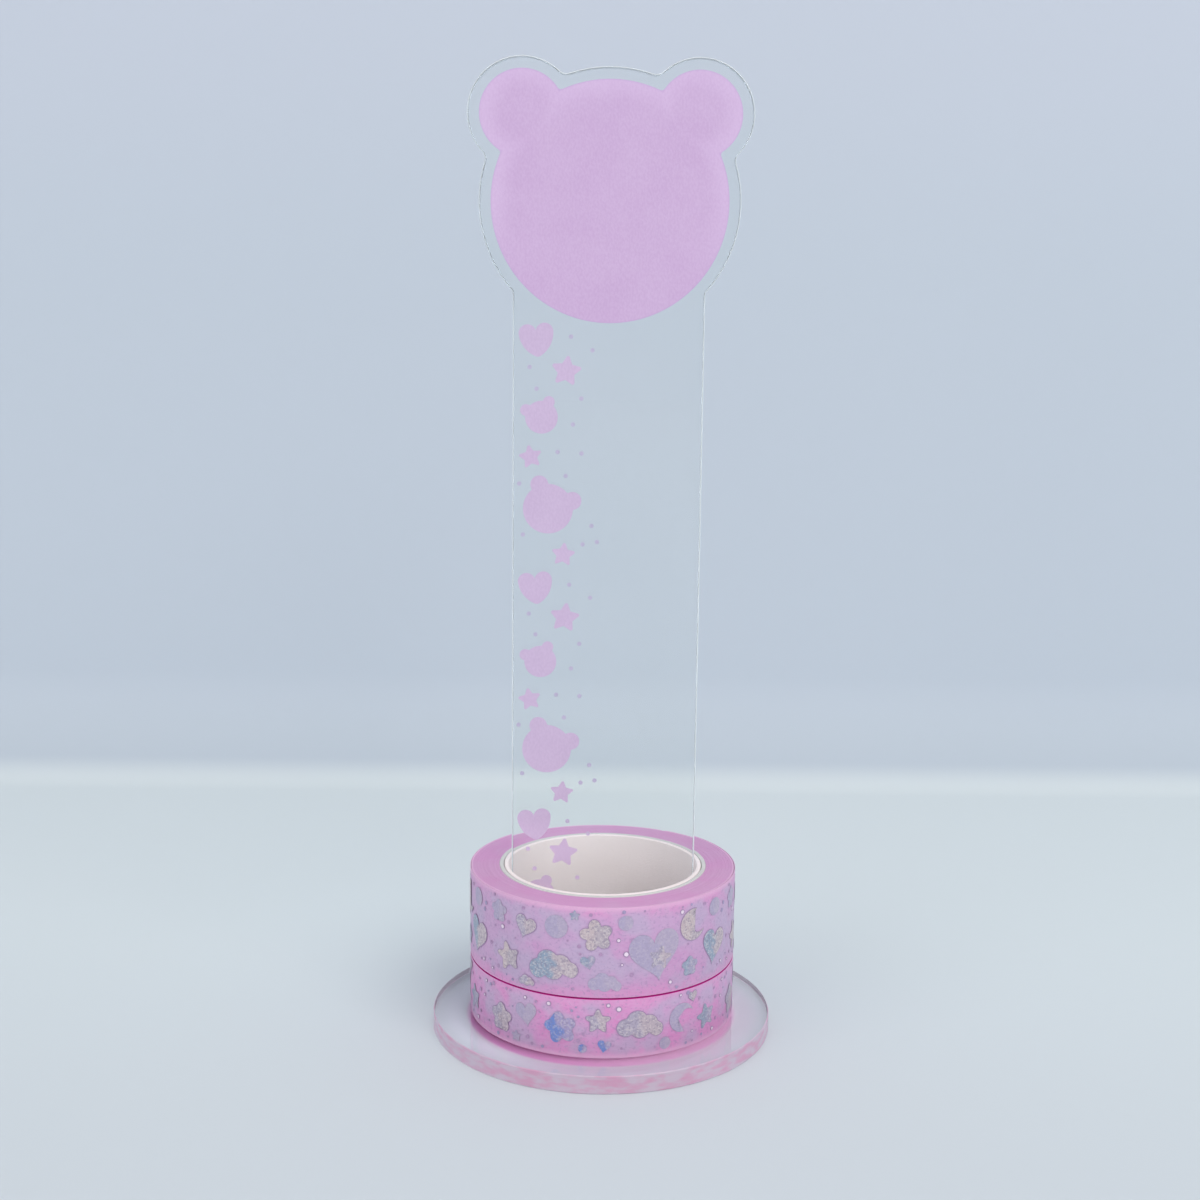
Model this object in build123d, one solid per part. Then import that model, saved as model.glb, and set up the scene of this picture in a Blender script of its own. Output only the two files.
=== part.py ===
from build123d import *
import os
from math import cos, hypot, radians, sin

# Washi tape stand, in millimetres, +Z up, with its printed side towards -Y.
# A clear panel with a bear's head drops into a slot in a clear disc, and two
# rolls of tape are threaded on the panel and rest on the disc.
# The origin is the centre of the disc's underside.

# Clear sheet that the disc and the panel are cut from
sheet_thickness = 3.0
edge_break = 0.15
disc_diameter = 56.4
column_width = 30.2

# Tab and slot
tab_width = 20.0
tab_play = 0.1
tab_height_off_table = 0.1

# Head: a round face and two round ears, printed inside a clear margin
face_height = 135.4
face_radius = 18.55
ear_radius = 6.65
ear_across = 13.7
ear_above_face = 13.4
print_notch_radius = 0.6
clear_margin = 1.9
panel_notch_radius = 1.5
neck_radius = 1.0

# Trail of printed figures, which repeats down the column
ink_thickness = 0.05
trail_repeat = 39.6
trail_repeats = 3
dot_diameter = 0.75
dot_sides = 8
bear_notch_share = 0.06
heart_width = 5.5
heart_height = 5.2
hearts = [(-11.3, 114.1, 6)]
stars = [(-6.6, 109.3, 2.4, -7), (-12.2, 95.7, 1.85, 11), (-6.9, 80.0, 1.9, -6)]
bears = [(-10.5, 102.0, 2.6, 20), (-9.4, 87.4, 4.0, -26)]
dots = [
    (-5.9, 114.7), (-2.5, 112.6), (-12.4, 109.9), (-11.3, 106.5), (-4.2, 105.0),
    (-5.5, 100.9), (-7.9, 96.5), (-4.1, 96.3), (-6.6, 92.7), (-14.0, 91.4),
    (-2.4, 84.7), (-13.4, 83.2), (-3.8, 81.7), (-1.5, 82.1),
]

# Heart in shares of its width and height, and star in shares of its radius
heart_lobe_radius = 0.254
heart_flank = (0.38, -0.18)
heart_beside_tip = (0.09, -0.47)
star_sharp_tip = 1.14
star_inner_corner = 0.58
star_tip_cut = 0.17

# Tape rolls
core_bore_radius = 15.65
core_ply_radius = 16.4
core_outer_radius = 17.15
core_groove = 0.14
tape_thickness = 0.1
tape_outer_radius = 22.0
tape_set_back = 0.12
cut_end_overlap = 0.8
narrow_tape_width = 10.0
wide_tape_width = 15.0
narrow_tape_end_angle = 118
wide_tape_end_angle = 62

# Worked out from the above
disc_top = sheet_thickness
narrow_roll_top = disc_top + narrow_tape_width
front_plane = Plane.XZ.offset(sheet_thickness / 2)
column_edge = column_width / 2

# Points nearer than this count as one
touching = 0.01


def on_circle(vertex, centre, radius):
    """Say whether a vertex lies on a circle of a flat outline."""
    return abs(hypot(vertex.X - centre[0], vertex.Y - centre[1]) - radius) < touching


def bear_outline(scale, margin, notch_radius):
    """Face and ears as one outline about the face's centre, with rounded notches."""
    face = scale * face_radius + margin
    ear = scale * ear_radius + margin
    ear_centres = [(side * scale * ear_across, scale * ear_above_face) for side in (-1, 1)]
    outline = Circle(face)
    for centre in ear_centres:
        outline += Pos(*centre) * Circle(ear)
    notches = [
        corner
        for corner in outline.vertices()
        if on_circle(corner, (0, 0), face)
        and any(on_circle(corner, centre, ear) for centre in ear_centres)
    ]
    return fillet(notches, notch_radius)


def heart_outline(width, height):
    """Heart with full round lobes and a blunt tip, about its middle."""
    lobe_radius = heart_lobe_radius * width
    lobe_across = width / 2 - lobe_radius
    lobe_up = height / 2 - lobe_radius
    widest = Vector(width / 2, lobe_up)
    flank = Vector(heart_flank[0] * width, heart_flank[1] * height)
    beside_tip = Vector(heart_beside_tip[0] * width, heart_beside_tip[1] * height)
    right_side = ThreePointArc(widest, flank, beside_tip)
    left_side = mirror(right_side, Plane.YZ)
    tip = ThreePointArc(right_side @ 1, (0, -height / 2), left_side @ 1)
    outline = make_face([right_side, tip, left_side, Line(left_side @ 0, widest)])
    for side in (-1, 1):
        outline += Pos(side * lobe_across, lobe_up) * Circle(lobe_radius)
    return outline


def star_outline(radius):
    """Plump five-pointed star with blunt points."""
    corners = []
    for step in range(10):
        angle = radians(90 + 36 * step)
        reach = radius * (star_inner_corner if step % 2 else star_sharp_tip)
        corners.append((reach * cos(angle), reach * sin(angle)))
    star = make_face(Polyline(*corners, close=True))
    tips = star.vertices().filter_by(lambda corner: hypot(corner.X, corner.Y) > radius)
    return chamfer(tips, star_tip_cut * radius)


def broken_edges(plate, axis):
    """Take the sharp edge off both broad faces of a cut sheet."""
    broad = plate.faces().filter_by(axis)
    return chamfer(broad.edges(), edge_break)


def base_disc():
    """Round disc, with the slot cut right through its middle."""
    disc = extrude(Circle(disc_diameter / 2), sheet_thickness)
    disc = chamfer(disc.edges().filter_by(GeomType.CIRCLE), edge_break)
    slot = extrude(Rectangle(tab_width + 2 * tab_play, sheet_thickness + 2 * tab_play), sheet_thickness)
    return disc - slot


def upright_panel():
    """Head, column with its two shoulders on the disc, and the tab in the slot."""
    head = Pos(0, face_height) * bear_outline(1, clear_margin, panel_notch_radius)
    column_height = face_height - disc_top
    column = Pos(0, disc_top + column_height / 2) * Rectangle(column_width, column_height)
    outline = head + column
    necks = [
        corner
        for corner in outline.vertices()
        if on_circle(corner, (0, face_height), face_radius + clear_margin)
        and abs(abs(corner.X) - column_edge) < touching
    ]
    outline = fillet(necks, neck_radius)
    tab_height = disc_top - tab_height_off_table
    outline += Pos(0, disc_top - tab_height / 2) * Rectangle(tab_width, tab_height)
    panel = extrude(Plane.XZ * outline, sheet_thickness / 2, both=True)
    return broken_edges(panel, Axis.Y)


def printed(outline):
    """Lay an outline on the panel's front face as a film of ink."""
    return extrude(front_plane * outline, ink_thickness)


def head_print():
    """The ink that fills the head inside its clear margin."""
    return printed(Pos(0, face_height) * bear_outline(1, 0, print_notch_radius))


def down_the_trail(figures, outline_of, reach_of):
    """Print every repeat of some figures that fits on the column above the disc."""
    films = []
    for repeat in range(trail_repeats):
        for across, height, *shape in figures:
            place = height - repeat * trail_repeat
            if place - reach_of(*shape) > disc_top:
                films += printed(Pos(across, place) * outline_of(*shape)).solids()
    return Compound(children=films)


def heart_prints():
    """Hearts, leaning a little to the left."""
    return down_the_trail(
        hearts,
        lambda tilt: Rot(0, 0, tilt) * heart_outline(heart_width, heart_height),
        lambda tilt: heart_height / 2,
    )


def star_prints():
    """Stars of three sizes."""
    return down_the_trail(
        stars,
        lambda radius, tilt: Rot(0, 0, tilt) * star_outline(radius),
        lambda radius, tilt: radius,
    )


def bear_prints():
    """The head's own outline again, small and tilted."""
    return down_the_trail(
        bears,
        lambda radius, tilt: Rot(0, 0, tilt)
        * bear_outline(radius / face_radius, 0, bear_notch_share * radius),
        lambda radius, tilt: radius,
    )


def dot_prints():
    """Dots scattered beside the figures."""
    return down_the_trail(
        dots,
        lambda: RegularPolygon(dot_diameter / 2, dot_sides),
        lambda: dot_diameter / 2,
    )


def core_liner(bottom, width):
    """The core's inner ply, cut back at its outer edge so that the two plies show."""
    profile = Rectangle(core_ply_radius - core_bore_radius, width)
    profile = chamfer(profile.vertices().group_by(Axis.X)[-1], core_groove)
    centre = Pos((core_bore_radius + core_ply_radius) / 2, bottom + width / 2)
    return revolve(Plane.XZ * centre * profile, Axis.Z)


def core_board(bottom, width):
    """The core's outer ply, which the tape is wound on."""
    return Pos(0, 0, bottom) * extrude(Circle(core_outer_radius) - Circle(core_ply_radius), width)


def spiral_face(start_radius, rise):
    """A disc whose rim moves out by the rise over one turn from +X, on two half turns."""
    far_side = (-start_radius, 0)
    end = (start_radius + rise, 0)
    first = ThreePointArc((start_radius, 0), (0, start_radius), far_side)
    second = ThreePointArc(far_side, (rise / 2, -start_radius - rise / 2), end)
    return make_face([first, second, Line(end, (start_radius, 0))])


def wound_tape(bottom, width, end_angle):
    """Give the winding, stepped where its last turn leaves it, and that last turn."""
    turn_radius = tape_outer_radius - 1.5 * tape_thickness
    height = width - 2 * tape_set_back
    place = Pos(0, 0, bottom + tape_set_back) * Rot(0, 0, end_angle)
    inside = spiral_face(turn_radius, tape_thickness)
    outside = spiral_face(turn_radius + tape_thickness, tape_thickness)
    cutter = Rectangle(4 * tape_thickness, cut_end_overlap)
    cut_back = Pos(tape_outer_radius, -cut_end_overlap / 2) * cutter
    winding = inside - Circle(core_outer_radius)
    last_turn = outside - inside - cut_back
    return place * extrude(winding, height), place * extrude(last_turn, height)


def tape_roll(name, bottom, width, end_angle):
    """Every piece of one roll, by node name."""
    winding, last_turn = wound_tape(bottom, width, end_angle)
    return {
        name + "_core_liner": core_liner(bottom, width),
        name + "_core_board": core_board(bottom, width),
        name + "_tape_winding": winding,
        name + "_outer_turn": last_turn,
    }


nodes = {
    "base_disc": base_disc(),
    "upright_panel": upright_panel(),
    "head_print": head_print(),
    "heart_prints": heart_prints(),
    "star_prints": star_prints(),
    "bear_prints": bear_prints(),
    "dot_prints": dot_prints(),
}
nodes.update(tape_roll("narrow_roll", disc_top, narrow_tape_width, narrow_tape_end_angle))
nodes.update(tape_roll("wide_roll", narrow_roll_top, wide_tape_width, wide_tape_end_angle))

os.makedirs("parts", exist_ok=True)
for node_name, shape in nodes.items():
    export_step(shape, f"parts/{node_name}.step")
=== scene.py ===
import math
import random

import bmesh
import bpy
from mathutils import Matrix, Vector


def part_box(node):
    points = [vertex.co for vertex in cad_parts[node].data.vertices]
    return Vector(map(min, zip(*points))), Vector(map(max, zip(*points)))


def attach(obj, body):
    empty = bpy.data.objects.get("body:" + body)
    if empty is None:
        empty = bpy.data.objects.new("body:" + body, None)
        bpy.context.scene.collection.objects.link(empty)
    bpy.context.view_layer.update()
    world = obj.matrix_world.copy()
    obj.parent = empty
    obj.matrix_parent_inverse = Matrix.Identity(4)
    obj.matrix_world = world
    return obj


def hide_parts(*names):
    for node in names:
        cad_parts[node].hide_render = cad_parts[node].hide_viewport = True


# Washi tape stand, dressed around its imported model. The scene is in metres, and
# mm turns the sizes named here in millimetres into metres.
mm = 0.001

# Camera that took the photo, found from the stand's own rims and edges
photo_side_pixels = 1200
focal_length_pixels = 1813.5
sensor_width = 36
camera_place = Vector((-1.86, -289.61, 124.86)) * mm
camera_pitch_down = 0.1793
camera_yaw_right = 0.0033
camera_roll = 0.0106
camera_nearest = 10 * mm

# Lamps: place and width in metres, power in watts, and tint
lamp_target = Vector((0, 0, 60)) * mm
lamps = {
    "key_lamp": (Vector((0.62, -0.88, 1.08)), 0.9, 8.8, (1.0, 0.99, 0.98)),
    "fill_lamp": (Vector((-0.9, -0.8, 0.5)), 0.8, 2.5, (0.99, 0.99, 1.0)),
}
surround_strength = 0.7
light_bounces = {
    "max_bounces": 32,
    "transmission_bounces": 32,
    "glossy_bounces": 24,
    "transparent_max_bounces": 24,
}

# Floor that turns up into the wall behind the stand
floor_front = -1500 * mm
floor_drop = 0.05 * mm
wall_distance = 160 * mm
wall_bend_radius = 24 * mm
wall_top = 1400 * mm
backdrop_half_width = 1800 * mm
bend_steps = 24

# Head print, a round face with two round ears
face_height = 135.4 * mm
face_radius = 18.55 * mm
ear_radius = 6.65 * mm
ear_across = 13.7 * mm
ear_above_face = 13.4 * mm

# Air behind the ink films, so that their backs show through the panel
film_gap = 0.01 * mm

# Meshes: steps in a round, and the turn in degrees past which an edge is sharp
round_steps = 256
corner_steps = 3
sharp_turn = 35
foil_sharp_turn = 50

# Tape rolls
core_bore_radius = 15.65 * mm
core_edge_round = 0.12 * mm
core_ply_gap = 0.12 * mm
core_end_gap = 0.01 * mm
tape_thickness = 0.1 * mm
tape_outer_radius = 22.0 * mm
winding_radius = tape_outer_radius - 1.5 * tape_thickness
outermost_radius = tape_outer_radius + 0.5 * tape_thickness
cut_end_overlap = 0.8 * mm
tape_edge_round = 0.04 * mm
tape_end_angles = {"narrow_roll": 118, "wide_roll": 62}

# Ridges at the ends of the wound tape, with a groove beside each
ridge_spacing = 0.2 * mm
ridge_unevenness = 0.025 * mm
groove_depth = 1.5 * ridge_unevenness
groove_half_share = 0.12

# Foil figures printed on the tape, as films, some of them on top of a wider outline
foil_lift = 0.01 * mm
foil_thickness = 0.012 * mm
foil_strip = 0.9 * mm
bare_film_lift = 0.5 * foil_thickness
outlined_film_lift = 2 * foil_thickness
outlined_kinds = ("gold", "silver", "two_tone", "white")
outline_width = 0.14 * mm
outline_points = 60
shortest_reach = 0.3
pattern_repeats = 3

# Dots between the figures, in plain millimetres like the layout of the figures
dots_per_repeat = 40
dot_sizes = (0.14, 0.36)
dot_clearance = 0.5
dots_half_height = {"narrow_roll": 4.3, "wide_roll": 6.8}
dot_kinds = ("white", "veil_dot", "veil_dot", "blue_dot")

# Soft steps in the looks, each as the values where it starts and ends
cut_edge_facing = (0.8, 0.95)
ink_back_facing = (0.2, 0.8)
# Ring on the disc's underside that takes the painted pink glow of the tape's light
disc_glow_inside = (15 * mm, 17 * mm)
disc_glow_outside = (22 * mm, 22.9 * mm)
disc_glow_height = (0.2 * mm, 0.8 * mm)
disc_left_to_right = (-12 * mm, 12 * mm)
# Front to back over which the disc's cut edge is painted lighter
disc_front_to_back = (-5 * mm, 15 * mm)
head_band_depth = (0.2 * mm, 3.8 * mm)
head_band_height = (face_height - 12 * mm, face_height + 2 * mm)
head_line_depth = (0.05 * mm, 0.25 * mm)
# Heights from the rolls' top over which the figures take painted pink light
near_above_rolls = (2 * mm, 10 * mm)
inside_rolls = (-8 * mm, -1 * mm)
tape_change_above_seam = (-1 * mm, 3 * mm)
# Reach from the tape's edges of its painted glow, and of its painted edge highlight
tape_glow_reach = (0.5 * mm, 2.6 * mm)
tape_lip_reach = (0.25 * mm, 1.1 * mm)
winding_lip_radius = (tape_outer_radius - 0.5 * mm, tape_outer_radius - 0.2 * mm)
floor_near_to_far = (-80 * mm, 60 * mm)
# Where the floor is painted lighter under the disc and the roll, pinker to the right, and shaded in
# front
floor_under_disc = (24 * mm, 28 * mm)
floor_under_roll = (21.5 * mm, 23.5 * mm)
floor_left_to_right = (-15 * mm, 10 * mm)
floor_before_disc = (-30 * mm, -16 * mm)
wall_foot_height = (0, 0.2 * wall_bend_radius)
wall_middle_height = (0.2 * wall_bend_radius, wall_bend_radius)
wall_upper_height = (5 * wall_bend_radius, 8 * wall_bend_radius)

# Half widths of the painted lines of deep pink where the rolls meet and where they stand: painted
# shade on the band at the seam, and painted glow on the wound tape's ends
seam_half_width = 0.16 * mm
winding_line_half_width = 0.5 * mm

# Optical values of the acrylic
acrylic_index = 1.49
smudge_roughness = 0.03


# Colours

def srgb(red, green, blue):
    """Turn a screen colour, 0 to 255, into the linear values that nodes hold."""
    def linear(value):
        part = value / 255
        return part / 12.92 if part <= 0.04045 else ((part + 0.055) / 1.055) ** 2.4
    return linear(red), linear(green), linear(blue), 1.0


white = srgb(255, 255, 255)

# Acrylic
acrylic_shadow = srgb(246, 250, 251)
panel_sheet = (srgb(250, 252, 251), srgb(253, 254, 253))
panel_edge = srgb(244, 250, 252)
disc_sheet = (srgb(250, 246, 249), srgb(253, 249, 252))
# Painted pink glow of the tape's light on the disc's underside, left and right
disc_painted_glow = (srgb(255, 164, 232), srgb(255, 196, 238))
# Disc's cut edge: frosted pale with painted pink streaks that stand for reflected tape, and painted
# lighter at the back, where the roll's shade falls
disc_edge = (srgb(222, 204, 222), srgb(226, 172, 204))
disc_edge_painted_light_behind = srgb(255, 238, 248)

# Ink
ink_back = srgb(250, 228, 255)
ink_pale = srgb(240, 222, 246)
head_body = srgb(202, 169, 210)
head_band = srgb(238, 212, 246)
head_line = srgb(186, 152, 206)
figure_body = srgb(202, 179, 211)
dot_body = srgb(184, 178, 204)
# Painted pink light on the figures' ink near and inside the rolls
ink_painted_light_near_rolls = srgb(220, 194, 228)
ink_painted_light_inside_rolls = srgb(255, 228, 254)

# Tape
narrow_tape_light, narrow_tape_deep = srgb(214, 154, 204), srgb(220, 144, 200)
wide_tape_light, wide_tape_deep = srgb(202, 164, 204), srgb(206, 156, 202)
tape_cloud = srgb(192, 172, 204)
# Painted glow of light shining into the tape along its edges
tape_glow = srgb(224, 152, 204)
tape_fibre = srgb(222, 190, 220)
tape_speck = srgb(166, 140, 180)
# Painted highlight on the tape's top and bottom edges
tape_lip_highlight = srgb(232, 184, 218)
# Painted deep pink shade along the seam where the rolls meet
tape_seam_shade = srgb(196, 22, 142)
winding_rings = (srgb(206, 159, 197), srgb(212, 167, 204))
winding_patch = srgb(210, 151, 197)
# Painted highlight near the winding's outer rim
winding_lip_highlight = srgb(238, 200, 226)
# Painted deep pink glow where the rolls meet and where they stand
winding_seam_glow = srgb(240, 60, 186)
winding_foot_glow = srgb(246, 150, 214)

# Core papers, light and dark
core_papers = {
    "core_board": (srgb(216, 215, 212), srgb(204, 204, 201)),
    "core_liner": (srgb(252, 240, 239), srgb(248, 235, 233)),
}

# Foils: the two colours that each turns between, its glitter and its metallic sheen
foils = {
    "veil": (srgb(184, 172, 202), srgb(190, 176, 202), 0.18, 0.2),
    "gold": (srgb(208, 190, 194), srgb(194, 180, 190), 0.5, 0.25),
    "silver": (srgb(186, 176, 196), srgb(200, 184, 194), 0.5, 0.25),
    "teal": (srgb(160, 170, 194), srgb(178, 172, 198), 0.35, 0.25),
    "two_tone": (srgb(154, 170, 192), srgb(202, 186, 194), 0.5, 0.25),
    "blue": (srgb(122, 146, 212), srgb(176, 164, 204), 0.35, 0.2),
}
bright_flake = srgb(226, 216, 216)
dull_flake = srgb(150, 138, 162)

# Plain prints on the tape
plain_prints = {
    "outline": srgb(178, 150, 188),
    "white": srgb(246, 228, 244),
    "veil_dot": srgb(190, 156, 196),
    "blue_dot": srgb(174, 160, 198),
}

# Room
floor_tones = (srgb(209, 216, 220), srgb(218, 226, 228))
# Painted light and shade on the floor under the disc
floor_painted_light_tones = (srgb(236, 240, 246), srgb(224, 216, 226))
floor_painted_shade_before_disc = srgb(212, 198, 212)
floor_painted_light_under_roll = srgb(242, 234, 240)
wall_foot = srgb(190, 200, 210)
wall_middle = srgb(197, 206, 217)
wall_upper = srgb(200, 207, 219)
surround_light = srgb(250, 250, 252)
surround_shown = srgb(199, 207, 218)


# Finishes

class Finish:
    """One procedural material, with short names for the nodes it needs."""

    def __init__(self, name, plain):
        self.material = bpy.data.materials.new(name)
        self.material.use_nodes = True
        self.tree = self.material.node_tree
        self.shader = self.tree.nodes["Principled BSDF"]
        self.output = self.tree.nodes["Material Output"]
        coordinates = self.tree.nodes.new("ShaderNodeTexCoord")
        self.place = coordinates.outputs["Object"]
        self.normal = coordinates.outputs["Normal"]
        for socket, value in plain.items():
            self.shader.inputs[socket].default_value = value

    def node(self, kind, inputs, **settings):
        """Add a node, give its settings, and link or set its inputs."""
        added = self.tree.nodes.new("ShaderNode" + kind)
        for name, value in settings.items():
            setattr(added, name, value)
        for name, value in inputs.items():
            self.feed(added.inputs[name], value)
        return added

    def feed(self, socket, value):
        """Link a socket to another one, or set its value."""
        if isinstance(value, bpy.types.NodeSocket):
            self.tree.links.new(value, socket)
        else:
            socket.default_value = value

    def math(self, operation, first, second=0.0, clamp=False):
        added = self.node("Math", {0: first, 1: second}, operation=operation, use_clamp=clamp)
        return added.outputs[0]

    def times(self, first, second):
        return self.math("MULTIPLY", first, second)

    def rest(self, share):
        """What a share leaves of 1."""
        return self.math("SUBTRACT", 1.0, share)

    def position(self, axis):
        """One coordinate of a point on the piece, in metres."""
        return self.node("SeparateXYZ", {"Vector": self.place}).outputs[axis]

    def facing(self, axis):
        """How much the surface faces along an axis, -1 to 1."""
        return self.node("SeparateXYZ", {"Vector": self.normal}).outputs[axis]

    def distance(self, first, second):
        """Length of a flat step that goes so far one way and so far across it."""
        squares = self.math("ADD", self.times(first, first), self.times(second, second))
        return self.math("SQRT", squares)

    def radius(self):
        """Distance from the rolls' axis, in metres."""
        return self.distance(self.position("X"), self.position("Y"))

    def nearness(self, value, marks):
        """Distance from a value to the nearest of some marks."""
        nearest = None
        for mark in marks:
            apart = self.math("ABSOLUTE", self.math("SUBTRACT", value, mark))
            nearest = apart if nearest is None else self.math("MINIMUM", nearest, apart)
        return nearest

    def near(self, value, mark, within):
        """1 within a distance of a mark, and 0 past it."""
        return self.math("LESS_THAN", self.nearness(value, (mark,)), within)

    def step(self, value, between):
        """Smooth 0 to 1 as the value goes from the first place to the second."""
        inputs = {"Value": value, "From Min": between[0], "From Max": between[1]}
        return self.node("MapRange", inputs, interpolation_type="SMOOTHSTEP").outputs["Result"]

    def fade(self, value, between):
        """Smooth 1 to 0 as the value goes from the first place to the second."""
        return self.rest(self.step(value, between))

    def noise(self, size, detail=2.0, stretch=(1, 1, 1), place=None):
        """Soft random values, 0 to 1, with features about as wide as the size."""
        scaled = self.node("Mapping", {"Vector": place or self.place, "Scale": stretch})
        inputs = {"Vector": scaled.outputs[0], "Scale": 1 / size, "Detail": detail}
        return self.node("TexNoise", inputs).outputs["Fac"]

    def patches(self, size, between, detail=2.0, stretch=(1, 1, 1)):
        """Patches, 0 to 1: noise of a size, stepped between two of its values."""
        return self.step(self.noise(size, detail, stretch), between)

    def flakes(self, size):
        """Cells about as wide as the size, each with a random value, 0 to 1."""
        cells = self.node("TexVoronoi", {"Vector": self.place, "Scale": 1 / size})
        return self.node("SeparateColor", {"Color": cells.outputs["Color"]}).outputs["Red"]

    def blend(self, share, first, second):
        """Mix two colours by a share of 0 to 1."""
        added = self.node("Mix", {"Factor": share}, data_type="RGBA")
        self.feed(added.inputs[6], first)
        self.feed(added.inputs[7], second)
        return added.outputs[2]

    def cover(self, base, over, where, strength):
        """Lay a colour over a base in some places, at less than full strength."""
        return self.blend(self.times(where, strength), base, over)

    def colour(self, value):
        self.feed(self.shader.inputs["Base Color"], value)

    def roughness(self, value):
        self.feed(self.shader.inputs["Roughness"], value)

    def bump(self, height, distance, strength):
        inputs = {"Height": height, "Distance": distance, "Strength": strength}
        self.feed(self.shader.inputs["Normal"], self.node("Bump", inputs).outputs["Normal"])

    def clear_where(self, share, tint):
        """Let light straight through by a share of 0 to 1."""
        through = self.node("BsdfTransparent", {"Color": tint})
        inputs = {0: share, 1: self.shader.outputs[0], 2: through.outputs[0]}
        mixed = self.node("MixShader", inputs)
        self.feed(self.output.inputs["Surface"], mixed.outputs[0])


def clear_acrylic(name, broad_axis, edge_roughness, frost):
    """Polished clear sheet with rougher cut edges, frosted by a share. Lamps shine through it.

    Gives the finish, and how much a place is on a cut edge.
    """
    finish = Finish(name, {"IOR": acrylic_index})
    edge = finish.fade(finish.math("ABSOLUTE", finish.facing(broad_axis)), cut_edge_facing)
    clear = finish.rest(finish.times(edge, frost))
    finish.feed(finish.shader.inputs["Transmission Weight"], clear)
    smudges = finish.patches(size=9 * mm, between=(0.45, 0.75), detail=3)
    polish = finish.times(smudges, smudge_roughness)
    finish.roughness(finish.math("ADD", polish, finish.times(edge, edge_roughness)))
    for_shadows = finish.node("LightPath", {}).outputs["Is Shadow Ray"]
    finish.clear_where(for_shadows, acrylic_shadow)
    return finish, edge


def panel_acrylic():
    """The panel's sheet, with the faint cool tone of clear acrylic and matte cut edges."""
    finish, edge = clear_acrylic("panel_acrylic", "Y", edge_roughness=1.0, frost=0.55)
    clouds = finish.patches(size=30 * mm, between=(0.3, 0.7), detail=1)
    sheet = finish.blend(clouds, *panel_sheet)
    finish.colour(finish.blend(edge, sheet, panel_edge))
    return finish.material


def disc_acrylic():
    """The disc's sheet, with a painted pink glow on its underside below the tape, for the tape's
    light falling into it.
    """
    finish, edge = clear_acrylic("disc_acrylic", "Z", edge_roughness=0.3, frost=0.75)
    clouds = finish.patches(size=12 * mm, between=(0.3, 0.7), detail=1)
    sheet = finish.blend(clouds, *disc_sheet)
    radius = finish.radius()
    # Painted glow: pink light from the tape, in a ring on the underside below the tape
    under_tape = finish.times(
        finish.fade(radius, disc_glow_outside),
        finish.step(radius, disc_glow_inside),
    )
    share = finish.times(under_tape, finish.fade(finish.position("Z"), disc_glow_height))
    right = finish.step(finish.position("X"), disc_left_to_right)
    tinted = finish.blend(share, sheet, finish.blend(right, *disc_painted_glow))
    # Painted reflection of the tape in pink streaks on the cut edge, painted lighter towards the
    # back
    streaks = finish.patches(size=3 * mm, between=(0.35, 0.7), stretch=(1, 1, 3))
    behind = finish.step(finish.position("Y"), disc_front_to_back)
    rim = finish.blend(behind, finish.blend(streaks, *disc_edge), disc_edge_painted_light_behind)
    finish.colour(finish.blend(edge, tinted, rim))
    return finish.material


def mottled_ink(finish, colour):
    """Printed ink: fine uneven cover with a soft tooth, on a pale first coat that its back shows."""
    colour = finish.blend(finish.step(finish.facing("Y"), ink_back_facing), colour, ink_back)
    grain = finish.patches(size=0.3 * mm, between=(0.3, 0.7), stretch=(1, 1, 0.6))
    finish.bump(grain, 0.015 * mm, strength=0.3)
    colour = finish.cover(colour, ink_pale, grain, strength=0.14)
    broad = finish.patches(size=7 * mm, between=(0.35, 0.65))
    return finish.cover(colour, ink_pale, broad, strength=0.06)


def depth_inside_head(finish):
    """Depth in metres from the head print's outline, inside its three circles."""
    across, height = finish.position("X"), finish.position("Z")
    ear_height = face_height + ear_above_face
    circles = [
        (0, face_height, face_radius),
        (-ear_across, ear_height, ear_radius),
        (ear_across, ear_height, ear_radius),
    ]
    deepest = None
    for centre_across, centre_height, radius in circles:
        beside = finish.math("SUBTRACT", across, centre_across)
        above = finish.math("SUBTRACT", height, centre_height)
        depth = finish.math("SUBTRACT", radius, finish.distance(beside, above))
        deepest = depth if deepest is None else finish.math("MAXIMUM", deepest, depth)
    return deepest


def head_ink():
    """The head's ink, lighter in a soft band along its top and sides."""
    finish = Finish("head_ink", {"Roughness": 0.55})
    body = mottled_ink(finish, head_body)
    depth = depth_inside_head(finish)
    upper = finish.step(finish.position("Z"), head_band_height)
    band = finish.times(finish.fade(depth, head_band_depth), upper)
    body = finish.cover(body, head_band, band, strength=0.22)
    line = finish.fade(depth, head_line_depth)
    finish.colour(finish.cover(body, head_line, line, strength=0.3))
    return finish.material


def figure_ink(name, colour, rolls_top):
    """Ink of the small figures, painted lighter and pinker near and inside the rolls, for the pink
    light the tape casts on it there.
    """
    finish = Finish(name, {"Roughness": 0.55})
    above_rolls = finish.math("SUBTRACT", finish.position("Z"), rolls_top)
    # Painted light: lighter and pinker near the rolls, most of all inside them
    colour = finish.blend(finish.fade(above_rolls, near_above_rolls), colour, ink_painted_light_near_rolls)
    colour = finish.blend(finish.fade(above_rolls, inside_rolls), colour, ink_painted_light_inside_rolls)
    finish.colour(mottled_ink(finish, colour))
    return finish.material


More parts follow.
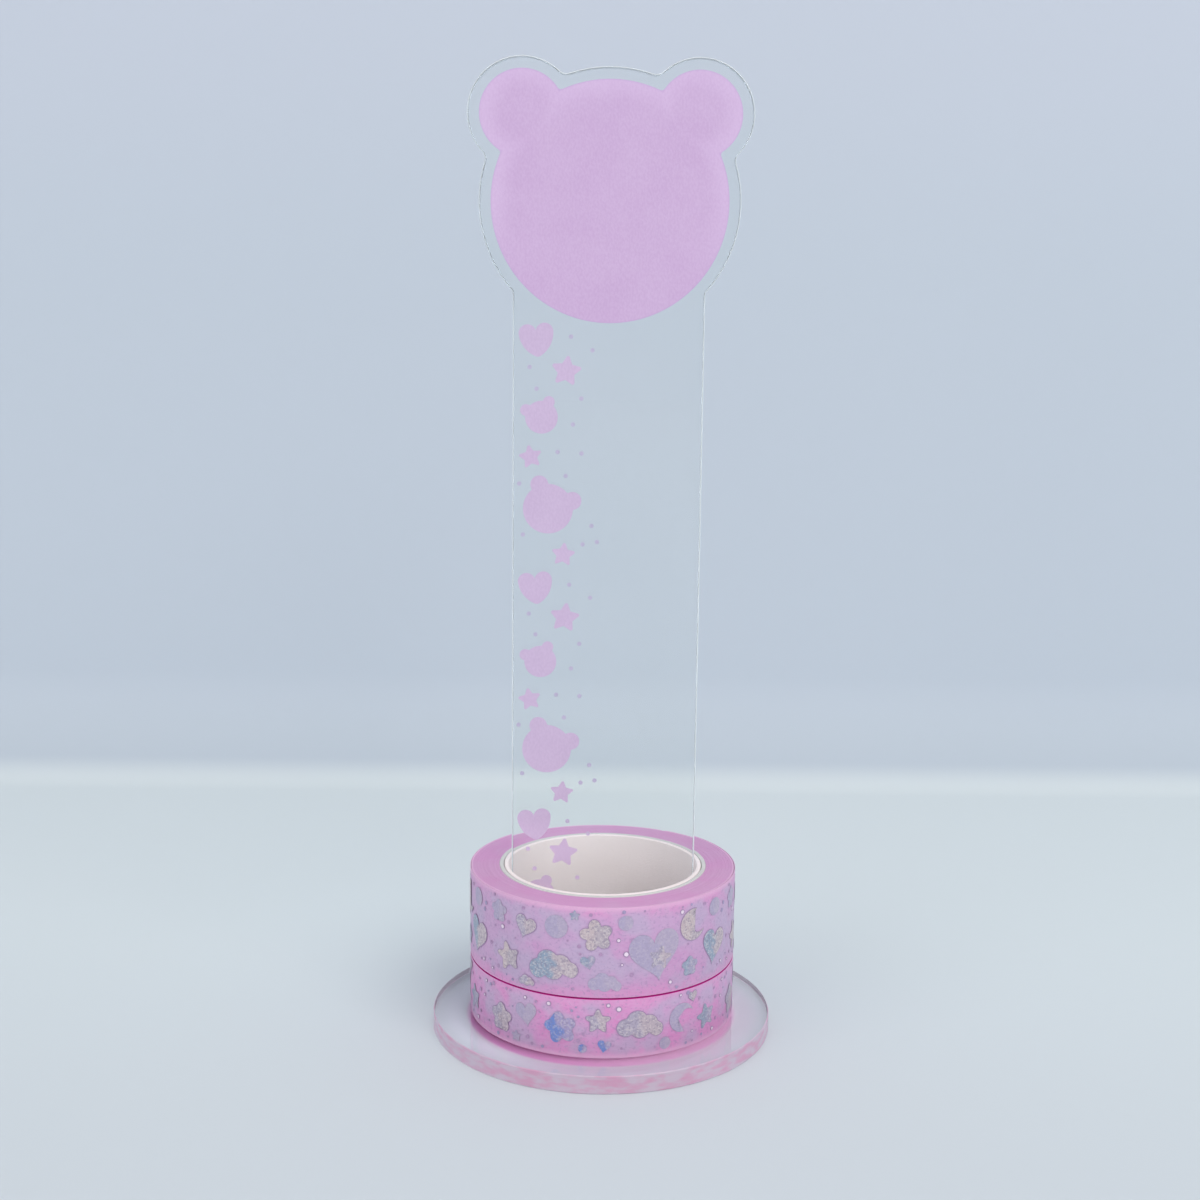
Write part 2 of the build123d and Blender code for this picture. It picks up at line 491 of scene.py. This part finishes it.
def printed_tape(lowest, seam_height, highest):
    """Glossy pink washi: lavender clouds in the print, paper fibres and fine dark specks.

    Along the edges of the tape and at the seam the colour is a painted pink glow of the light that
    shines into the roll, with a painted highlight on its top and bottom edges and a painted deep
    pink shade at the seam.
    """
    finish = Finish("printed_tape", {"Roughness": 0.42})
    height = finish.position("Z")
    above_seam = finish.math("SUBTRACT", height, seam_height)
    upper = finish.step(above_seam, tape_change_above_seam)
    light_pink = finish.blend(upper, narrow_tape_light, wide_tape_light)
    deep_pink = finish.blend(upper, narrow_tape_deep, wide_tape_deep)
    deep = finish.patches(size=8 * mm, between=(0.4, 0.6), detail=1)
    base = finish.blend(deep, light_pink, deep_pink)
    clouds = finish.patches(size=5.5 * mm, between=(0.4, 0.62), detail=3)
    base = finish.cover(base, tape_cloud, clouds, strength=0.85)
    # Painted glow: pink light shining into the tape along its edges and the seam
    from_edges = finish.nearness(height, (lowest, seam_height, highest))
    wavy = finish.math("ADD", from_edges, finish.times(clouds, 0.8 * mm))
    base = finish.cover(base, tape_glow, finish.fade(wavy, tape_glow_reach), strength=0.75)
    fibres = finish.patches(size=0.9 * mm, between=(0.35, 0.7), detail=3, stretch=(1, 1, 2.5))
    base = finish.cover(base, tape_fibre, fibres, strength=0.22)
    specks = finish.patches(size=0.45 * mm, between=(0.55, 0.68))
    base = finish.cover(base, tape_speck, specks, strength=0.4)
    # Painted highlight along the tape's top and bottom edges
    lip = finish.fade(finish.nearness(height, (lowest, highest)), tape_lip_reach)
    base = finish.cover(base, tape_lip_highlight, lip, strength=0.7)
    # Painted deep pink shade along the seam
    seam = finish.near(height, seam_height, seam_half_width)
    finish.colour(finish.blend(seam, base, tape_seam_shade))
    finish.bump(fibres, 0.015 * mm, strength=0.5)
    return finish.material


def tape_edge(lowest, seam_height):
    """The wound tape seen edge on, in faint rings, with a painted highlight near its outer rim and a
    painted deep pink glow where it meets the other roll and where it stands.
    """
    finish = Finish("tape_edge", {"Roughness": 0.75, "Specular IOR Level": 0.12})
    radius, height = finish.radius(), finish.position("Z")
    along_radius = finish.node("CombineXYZ", {"X": radius}).outputs[0]
    rings = finish.noise(size=0.5 * mm, detail=3, place=along_radius)
    base = finish.blend(finish.step(rings, (0.35, 0.65)), *winding_rings)
    broad = finish.patches(size=7 * mm, between=(0.4, 0.65))
    base = finish.cover(base, winding_patch, broad, strength=0.5)
    # Painted highlight near the outer rim of the winding
    lip = finish.step(radius, winding_lip_radius)
    base = finish.cover(base, winding_lip_highlight, lip, strength=0.6)
    # Painted deep pink glow at the seam and at the foot, for light through the tape's edges
    seam = finish.near(height, seam_height, winding_line_half_width)
    base = finish.blend(seam, base, winding_seam_glow)
    foot = finish.near(height, lowest, winding_line_half_width)
    finish.colour(finish.blend(foot, base, winding_foot_glow))
    finish.bump(rings, 0.02 * mm, strength=0.5)
    return finish.material


def core_paper(name, light, dark):
    """Plain paperboard: short fibres, with slightly uneven tone."""
    finish = Finish(name, {"Roughness": 0.8})
    fibres = finish.patches(size=0.5 * mm, between=(0.3, 0.7), detail=4, stretch=(1, 1, 2))
    broad = finish.patches(size=8 * mm, between=(0.35, 0.65))
    share = finish.math("ADD", finish.times(fibres, 0.4), finish.times(broad, 0.5), clamp=True)
    finish.colour(finish.blend(share, light, dark))
    finish.bump(fibres, 0.03 * mm, strength=0.4)
    return finish.material


def foil(name, first, second, glitter, sheen):
    """Printed foil that turns from one colour to the other across a figure."""
    finish = Finish(name, {"Roughness": 0.38, "Metallic": sheen})
    tone = finish.node("Attribute", {}, attribute_name="tone").outputs["Fac"]
    wander = finish.math("SUBTRACT", finish.noise(size=2.2 * mm), 0.5)
    turn = finish.step(finish.math("ADD", tone, wander), (0.4, 0.6))
    base = finish.blend(turn, first, second)
    flakes = finish.flakes(size=0.25 * mm)
    base = finish.cover(base, bright_flake, finish.step(flakes, (0.55, 0.95)), glitter)
    base = finish.cover(base, dull_flake, finish.fade(flakes, (0.05, 0.4)), glitter)
    finish.colour(base)
    finish.bump(flakes, 0.02 * mm, glitter)
    return finish.material


def plain_print(name, colour):
    """Thin printed line or dot with a little unevenness."""
    finish = Finish(name, {"Roughness": 0.45})
    grain = finish.patches(size=0.3 * mm, between=(0.3, 0.7))
    shade = 0.85
    darker = tuple(part * shade for part in colour[:3]) + (1.0,)
    finish.colour(finish.blend(grain, darker, colour))
    return finish.material


def backdrop_paper():
    """Pale floor that turns into a slightly bluer wall, with painted light under the disc: lighter
    there and most of all under the roll, pinker to the right, and a darker pink painted shade at the
    disc's front.

    Its back is clear, so that the wall doesn't hide the stand from behind.
    """
    finish = Finish("backdrop_paper", {"Roughness": 0.95})
    back, height, radius = finish.position("Y"), finish.position("Z"), finish.radius()
    floor = finish.blend(finish.step(back, floor_near_to_far), *floor_tones)
    # Painted light under the disc, pinker to the right, with painted shade at its front and most
    # light under the roll
    right = finish.step(finish.position("X"), floor_left_to_right)
    patch = finish.blend(right, *floor_painted_light_tones)
    patch = finish.blend(finish.fade(back, floor_before_disc), patch, floor_painted_shade_before_disc)
    patch = finish.blend(finish.fade(radius, floor_under_roll), patch, floor_painted_light_under_roll)
    floor = finish.blend(finish.fade(radius, floor_under_disc), floor, patch)
    wall = finish.blend(finish.step(height, wall_foot_height), floor, wall_foot)
    wall = finish.blend(finish.step(height, wall_middle_height), wall, wall_middle)
    finish.colour(finish.blend(finish.step(height, wall_upper_height), wall, wall_upper))
    finish.clear_where(finish.node("NewGeometry", {}).outputs["Backfacing"], white)
    return finish.material


# Mesh helpers

def show(name, mesh, material):
    """Put a mesh in the scene as one object with one material."""
    piece = bpy.data.objects.new(name, mesh)
    bpy.context.scene.collection.objects.link(piece)
    mesh.materials.append(material)
    return piece


def finished_mesh(name, bm, sharp_degrees=sharp_turn, closed=True):
    """Turn a bmesh into a mesh that is smooth apart from its sharp edges."""
    if closed:
        bmesh.ops.recalc_face_normals(bm, faces=bm.faces)
    mesh = bpy.data.meshes.new(name)
    bm.to_mesh(mesh)
    bm.free()
    mesh.shade_smooth()
    mesh.set_sharp_from_angle(angle=math.radians(sharp_degrees))
    return mesh


def add_section(bm, profile, angle, inner=0.0):
    """Stand a profile of (radius, height) points on end at an angle about the Z axis."""
    across, back = math.cos(angle), math.sin(angle)
    return [bm.verts.new(((inner + r) * across, (inner + r) * back, z)) for r, z in profile]


def join_sections(bm, sections):
    """Make the faces from each section to the next."""
    for here, there in zip(sections, sections[1:]):
        for k in range(len(here)):
            after = (k + 1) % len(here)
            bm.faces.new((here[k], there[k], there[after], here[after]))


def lathe(name, profile):
    """Turn a closed profile about the Z axis."""
    bm = bmesh.new()
    angles = [math.tau * step / round_steps for step in range(round_steps)]
    sections = [add_section(bm, profile, angle) for angle in angles]
    join_sections(bm, sections + sections[:1])
    return finished_mesh(name, bm)


def rounded_rectangle(inner, outer, bottom, top, corner):
    """Profile of a ring with rounded corners, as (radius, height) points."""
    points = []
    corners = [
        (outer - corner, bottom + corner, -90),
        (outer - corner, top - corner, 0),
        (inner + corner, top - corner, 90),
        (inner + corner, bottom + corner, 180),
    ]
    for radius, height, start in corners:
        for step in range(corner_steps + 1):
            angle = math.radians(start + 90 * step / corner_steps)
            points.append((radius + corner * math.cos(angle), height + corner * math.sin(angle)))
    return points


# Ink films

def ink_film(node, finish):
    """A film of ink as it is in the model, with a hair of air between it and the panel."""
    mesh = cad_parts[node].data.copy()
    mesh.materials.clear()
    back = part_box(node)[1].y
    for vert in mesh.vertices:
        if vert.co.y > back - film_gap:
            vert.co.y -= film_gap
    piece = show(node + "_film", mesh, finish)
    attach(piece, "upright")
    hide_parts(node)


# Tape rolls

def show_on_roll(roll, part, name, mesh, look):
    """Show a piece that turns with its roll, in place of one of the roll's nodes."""
    piece = show(name, mesh, finishes[look])
    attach(piece, roll)
    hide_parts(f"{roll}_{part}")


def core_pieces(roll):
    """The core's two plies, each with soft edges and a groove where they meet."""
    low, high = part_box(roll + "_core_board")
    ply_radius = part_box(roll + "_core_liner")[1].x
    bottom, top = low.z + core_end_gap, high.z - core_end_gap
    sizes = {
        "core_liner": (core_bore_radius, ply_radius - core_ply_gap / 2),
        "core_board": (ply_radius + core_ply_gap / 2, high.x),
    }
    for part, (inner, outer) in sizes.items():
        name = f"{roll}_{part}_ply"
        profile = rounded_rectangle(inner, outer, bottom, top, core_edge_round)
        show_on_roll(roll, part, name, lathe(name, profile), part)


def ridged_end(inner, outer, end, inward, chance):
    """Points from the inner to the outer radius, over slightly uneven ridges."""
    ridges = int((outer - inner) / ridge_spacing)
    width = (outer - inner) / ridges
    points = []
    for ridge in range(ridges):
        level = end + inward * chance.random() * ridge_unevenness
        start = inner + ridge * width
        points.append((start + groove_half_share * width, level))
        points.append((start + (1 - groove_half_share) * width, level))
        points.append((start + width, end + inward * groove_depth))
    return points[:-1]


def tape_winding(roll):
    """All the inner turns as one piece, ridged where the turns end."""
    low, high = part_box(roll + "_tape_winding")
    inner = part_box(roll + "_core_board")[1].x
    chance = random.Random(roll)
    lower_end = ridged_end(inner, winding_radius, low.z, 1, chance)
    upper_end = ridged_end(inner, winding_radius, high.z, -1, chance)
    name = roll + "_turns"
    mesh = lathe(name, lower_end + upper_end[::-1])
    show_on_roll(roll, "tape_winding", name, mesh, "tape_edge")


def last_turn(roll):
    """The last turn: a thin band that winds outward once and ends in a straight cut."""
    low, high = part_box(roll + "_outer_turn")
    start = math.radians(tape_end_angles[roll])
    whole = math.tau - cut_end_overlap / tape_outer_radius
    profile = rounded_rectangle(0, tape_thickness, low.z, high.z, tape_edge_round)
    bm = bmesh.new()
    sections = []
    for step in range(round_steps + 1):
        turn = whole * step / round_steps
        inner = winding_radius + tape_thickness * turn / math.tau
        sections.append(add_section(bm, profile, start + turn, inner))
    join_sections(bm, sections)
    bm.faces.new(sections[0])
    bm.faces.new(sections[-1])
    name = roll + "_printed_band"
    show_on_roll(roll, "outer_turn", name, finished_mesh(name, bm), "printed_tape")


# Outlines of the foil figures, one unit from the middle to the rim

def polar_outline(reach, points=outline_points):
    """Points of a shape whose reach from its middle depends on the angle."""
    angles = [math.tau * step / points for step in range(points)]
    return [(reach(angle) * math.cos(angle), reach(angle) * math.sin(angle)) for angle in angles]


def star():
    """Five points, with a share of the reach left between them."""
    waist, sharpness = 0.56, 1.6
    return polar_outline(
        lambda angle: waist + (1 - waist) * (0.5 + 0.5 * math.sin(5 * angle)) ** sharpness
    )


def flower():
    """Five petals, with a share of the reach left between them."""
    waist = 0.62
    return polar_outline(
        lambda angle: waist + (1 - waist) * abs(math.cos(2.5 * (angle - math.pi / 2)))
    )


def disc():
    return polar_outline(lambda angle: 1.0, 36)


def dot():
    return polar_outline(lambda angle: 1.0, 12)


def heart():
    """The usual heart curve of cosines, a little taller than wide."""
    outline = []
    for step in range(outline_points):
        angle = math.tau * step / outline_points
        up = 13 * math.cos(angle) - 5 * math.cos(2 * angle) - 2 * math.cos(3 * angle)
        outline.append((math.sin(angle) ** 3, (up - math.cos(4 * angle) + 2) / 15))
    return outline[::-1]


def cloud():
    """The outside of five round puffs, each given as its middle and its radius."""
    puffs = [
        (-0.58, -0.12, 0.36),
        (-0.16, 0.16, 0.42),
        (0.34, 0.06, 0.36),
        (0.66, -0.16, 0.3),
        (0.0, -0.12, 0.4),
    ]

    def reach(angle):
        across, up = math.cos(angle), math.sin(angle)
        furthest = 0
        for x, y, radius in puffs:
            along = x * across + y * up
            off = x * x + y * y - along * along
            if off < radius * radius:
                furthest = max(furthest, along + math.sqrt(radius * radius - off))
        return furthest

    return polar_outline(reach, 72)


def moon():
    """Crescent between a circle and a second one that is moved to the right."""
    shift, inner_radius = 0.5, 0.78
    outer_points, inner_points = 36, 24
    meet = math.acos((1 + shift * shift - inner_radius * inner_radius) / (2 * shift))
    inner_meet = math.atan2(math.sin(meet), math.cos(meet) - shift)
    outline = []
    for step in range(outer_points):
        angle = meet + (math.tau - 2 * meet) * step / outer_points
        outline.append((math.cos(angle), math.sin(angle)))
    for step in range(inner_points):
        angle = -inner_meet - (math.tau - 2 * inner_meet) * step / inner_points
        outline.append((shift + inner_radius * math.cos(angle), inner_radius * math.sin(angle)))
    return outline


# Foil layout of each tape, in plain millimetres along the tape and up from its middle:
# outline, along, up, size, tilt in degrees, kind of foil
tape_figures = {
    "narrow_roll": [
        (flower, -6.6, -0.2, 2.7, 12, "blue"),
        (cloud, 6.2, 0.4, 4.0, -5, "silver"),
        (star, -0.6, 1.3, 2.0, 0, "silver"),
        (heart, -12.6, 0.9, 2.0, 10, "veil"),
        (moon, 13.6, 0.4, 2.4, -30, "veil"),
        (heart, 0.4, -2.9, 1.1, -10, "blue"),
        (disc, -3.0, -3.3, 0.7, 0, "blue"),
        (star, 19.0, -0.8, 2.2, 10, "teal"),
        (disc, 10.4, -3.2, 1.0, 0, "veil"),
        (flower, -18.0, -1.0, 2.4, 0, "silver"),
        (heart, 15.8, 3.4, 0.9, 8, "silver"),
        (star, -14.6, -3.2, 1.0, 0, "veil"),
    ],
    "wide_roll": [
        (heart, 8.6, -0.9, 4.3, 8, "veil"),
        (star, 9.3, -1.3, 2.0, -10, "silver"),
        (flower, -1.0, 2.9, 2.6, 10, "gold"),
        (cloud, -8.0, -2.6, 4.3, 6, "two_tone"),
        (disc, -7.4, 3.9, 1.9, 0, "veil"),
        (heart, -12.9, 2.9, 1.9, -14, "silver"),
        (moon, 15.6, 3.0, 2.6, 24, "gold"),
        (flower, 15.0, -3.8, 1.7, 0, "teal"),
        (cloud, 0.4, -4.8, 2.8, -4, "veil"),
        (heart, 20.8, -2.0, 3.0, -10, "two_tone"),
        (star, -16.4, -2.8, 2.4, 14, "gold"),
        (disc, 3.6, 4.9, 1.2, 0, "veil"),
        (star, -4.4, 6.0, 0.9, 0, "teal"),
        (heart, -2.2, -1.6, 1.2, 12, "teal"),
        (disc, 20.9, 4.6, 1.5, 0, "veil"),
        (flower, -18.6, 4.2, 1.9, 0, "veil"),
        (cloud, -12.6, -5.9, 1.5, 0, "silver"),
    ],
}


def placed(outline, along, up, size, tilt, grow=0.0):
    """Scale, grow and tilt an outline, and put it on the unrolled tape, in metres."""
    turn = math.radians(tilt)
    points = []
    for x, y in outline:
        scale = size * mm + grow / max(math.hypot(x, y), shortest_reach)
        points.append((
            along * mm + scale * (x * math.cos(turn) - y * math.sin(turn)),
            up * mm + scale * (x * math.sin(turn) + y * math.cos(turn)),
        ))
    return points


def cut_in_strips(bm, faces, left, right):
    """Cut flat faces into upright strips, so that they can bend."""
    cut = left + foil_strip
    while cut < right:
        edges = {edge for face in faces for edge in face.edges}
        corners = {vert for face in faces for vert in face.verts}
        geometry = list(faces) + list(edges) + list(corners)
        result = bmesh.ops.bisect_plane(bm, geom=geometry, plane_co=(cut, 0, 0), plane_no=(1, 0, 0))
        faces = [part for part in result["geom"] if isinstance(part, bmesh.types.BMFace)]
        cut += foil_strip
    return faces


def add_film(bm, points, surface, middle_height):
    """Fill an outline, mark how far across it each point is, and wrap it round the roll."""
    tone = bm.verts.layers.float["tone"]
    face = bm.faces.new([bm.verts.new((x, 0, y)) for x, y in points])
    left = min(x for x, y in points)
    right = max(x for x, y in points)
    flat = bmesh.ops.triangulate(bm, faces=[face])["faces"]
    flat = cut_in_strips(bm, flat, left, right)
    corners = {vert for face in flat for vert in face.verts}
    for vert in corners:
        vert[tone] = (vert.co.x - left) / (right - left)
    edges = {edge for face in flat for edge in face.edges}
    rim = [edge for edge in edges if sum(face in flat for face in edge.link_faces) == 1]
    wrap(bm, corners, flat, rim, surface, middle_height, tone)


def wrap(bm, corners, flat, rim, surface, middle_height, tone):
    """Bend the flat film round the roll, with a second skin and walls at its rim."""
    lower = {}
    for vert in corners:
        angle = vert.co.x / tape_outer_radius
        outward = Vector((math.sin(angle), -math.cos(angle), 0))
        raised = Vector((0, 0, middle_height + vert.co.z))
        lower[vert] = bm.verts.new(outward * surface + raised)
        lower[vert][tone] = vert[tone]
        vert.co = outward * (surface + foil_thickness) + raised
    for face in flat:
        bm.faces.new([lower[vert] for vert in reversed(face.verts[:])])
    for edge in rim:
        first, second = edge.verts
        bm.faces.new((first, second, lower[second], lower[first]))


def clear_of(figures, along, up, length):
    """Say whether a spot is clear of every figure, round the end of the repeat too."""
    for _, figure_along, figure_up, size, *_ in figures:
        apart = abs(along - figure_along) % length
        apart = min(apart, length - apart)
        if math.hypot(apart, up - figure_up) < size + dot_clearance:
            return False
    return True


def scattered_dots(roll, figures, length):
    """Dots at random between the figures of one repeat."""
    chance = random.Random(roll + "dots")
    half_height = dots_half_height[roll]
    dots = []
    while len(dots) < dots_per_repeat:
        along = chance.uniform(-length / 2, length / 2)
        up = chance.uniform(-half_height, half_height)
        kind = chance.choice(dot_kinds)
        if clear_of(figures, along, up, length) and clear_of(dots, along, up, length):
            dots.append((dot, along, up, chance.uniform(*dot_sizes), 0, kind))
    return dots


def foil_layers(roll):
    """Every film of one tape: veils, outlines, foils and dots, one piece for each kind."""
    surface = outermost_radius + foil_lift
    low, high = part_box(roll + "_outer_turn")
    middle = (low.z + high.z) / 2
    length = math.tau * tape_outer_radius / mm / pattern_repeats
    figures = tape_figures[roll]
    prints = figures + scattered_dots(roll, figures, length)
    layers = {}

    def layer(kind):
        if kind not in layers:
            layers[kind] = bmesh.new()
            layers[kind].verts.layers.float.new("tone")
        return layers[kind]

    for repeat in range(pattern_repeats):
        shift = repeat * length
        for shape, along, up, size, tilt, kind in prints:
            spot = (along + shift, up, size, tilt)
            lift = bare_film_lift
            if kind in outlined_kinds:
                lift = outlined_film_lift
                add_film(layer("outline"), placed(shape(), *spot, outline_width), surface, middle)
            add_film(layer(kind), placed(shape(), *spot), surface + lift, middle)
    for kind, bm in layers.items():
        name = f"{roll}_foil_{kind}"
        piece = show(name, finished_mesh(name, bm, foil_sharp_turn), finishes["foil_" + kind])
        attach(piece, roll)


# Room

def add_backdrop():
    """Floor and wall in one sheet with a soft bend between them."""
    profile = [(floor_front, -floor_drop)]
    for step in range(bend_steps + 1):
        angle = math.pi / 2 * step / bend_steps
        back = wall_distance - wall_bend_radius * (1 - math.sin(angle))
        profile.append((back, wall_bend_radius * (1 - math.cos(angle)) - floor_drop))
    profile.append((wall_distance, wall_top))
    bm = bmesh.new()
    left, right = [
        [bm.verts.new((across, back, up)) for back, up in profile]
        for across in (-backdrop_half_width, backdrop_half_width)
    ]
    for k in range(len(profile) - 1):
        bm.faces.new((left[k], right[k], right[k + 1], left[k + 1]))
    mesh = finished_mesh("backdrop", bm, closed=False)
    show("backdrop", mesh, backdrop_paper())


def add_lamp(name, place, width, power, tint):
    """Soft square lamp that faces the stand."""
    lamp = bpy.data.lights.new(name, "AREA")
    lamp.size = width
    lamp.energy = power
    lamp.color = tint
    holder = bpy.data.objects.new(name, lamp)
    holder.location = place
    holder.rotation_euler = (lamp_target - place).to_track_quat("-Z", "Y").to_euler()
    holder.visible_camera = False
    holder.visible_transmission = False
    bpy.context.scene.collection.objects.link(holder)


def add_surround():
    """Even pale light from all sides, which shows in the wall's colour past the backdrop."""
    world = bpy.data.worlds.new("surround")
    world.use_nodes = True
    tree = world.node_tree
    light = tree.nodes["Background"]
    light.inputs["Color"].default_value = surround_light
    light.inputs["Strength"].default_value = surround_strength
    shown = tree.nodes.new("ShaderNodeBackground")
    shown.inputs["Color"].default_value = surround_shown
    path = tree.nodes.new("ShaderNodeLightPath")
    share = path.outputs["Is Camera Ray"]
    for kind in ("Is Glossy Ray", "Is Transmission Ray"):
        either = tree.nodes.new("ShaderNodeMath")
        either.operation = "MAXIMUM"
        tree.links.new(share, either.inputs[0])
        tree.links.new(path.outputs[kind], either.inputs[1])
        share = either.outputs[0]
    mixed = tree.nodes.new("ShaderNodeMixShader")
    for socket, source in enumerate((share, light.outputs[0], shown.outputs[0])):
        tree.links.new(source, mixed.inputs[socket])
    tree.links.new(mixed.outputs[0], tree.nodes["World Output"].inputs["Surface"])
    bpy.context.scene.world = world


def add_camera():
    """Camera at the photo's place, with its pitch, yaw, roll and focal length."""
    data = bpy.data.cameras.new("photo_camera")
    data.sensor_width = sensor_width
    data.lens = sensor_width * focal_length_pixels / photo_side_pixels
    data.clip_start = camera_nearest
    camera = bpy.data.objects.new("photo_camera", data)
    yaw = Matrix.Rotation(-camera_yaw_right, 4, "Z")
    pitch = Matrix.Rotation(math.pi / 2 - camera_pitch_down, 4, "X")
    roll = Matrix.Rotation(camera_roll, 4, "Z")
    camera.matrix_world = Matrix.Translation(camera_place) @ yaw @ pitch @ roll
    bpy.context.scene.collection.objects.link(camera)
    bpy.context.scene.camera = camera


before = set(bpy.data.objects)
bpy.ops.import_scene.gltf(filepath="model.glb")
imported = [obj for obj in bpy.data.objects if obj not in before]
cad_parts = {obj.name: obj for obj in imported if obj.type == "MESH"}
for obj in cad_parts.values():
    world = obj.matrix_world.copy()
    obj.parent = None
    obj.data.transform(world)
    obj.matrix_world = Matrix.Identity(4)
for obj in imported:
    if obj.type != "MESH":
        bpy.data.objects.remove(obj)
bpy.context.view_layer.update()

add_camera()

rolls_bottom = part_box("narrow_roll_core_board")[0].z
rolls_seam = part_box("wide_roll_core_board")[0].z
rolls_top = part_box("wide_roll_core_board")[1].z

# Finishes of the rolls, by name
finishes = {
    "tape_edge": tape_edge(rolls_bottom, rolls_seam),
    "printed_tape": printed_tape(rolls_bottom, rolls_seam, rolls_top),
}
for look, tones in core_papers.items():
    finishes[look] = core_paper(look, *tones)
for kind, recipe in foils.items():
    finishes["foil_" + kind] = foil("foil_" + kind, *recipe)
for kind, colour in plain_prints.items():
    finishes["foil_" + kind] = plain_print("foil_" + kind, colour)

# The acrylic sheets keep the model's own meshes
for node, material in (("base_disc", disc_acrylic()), ("upright_panel", panel_acrylic())):
    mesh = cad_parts[node].data
    mesh.materials.clear()
    mesh.materials.append(material)

ink_film("head_print", head_ink())
figure_finish = figure_ink("figure_ink", figure_body, rolls_top)
for node in ("heart_prints", "star_prints", "bear_prints"):
    ink_film(node, figure_finish)
ink_film("dot_prints", figure_ink("dot_ink", dot_body, rolls_top))

for roll in ("narrow_roll", "wide_roll"):
    core_pieces(roll)
    tape_winding(roll)
    last_turn(roll)
    foil_layers(roll)

add_backdrop()
add_surround()
for name, lamp in lamps.items():
    add_lamp(name, *lamp)

bpy.context.scene.view_settings.view_transform = "Standard"
for setting, bounces in light_bounces.items():
    setattr(bpy.context.scene.cycles, setting, bounces)
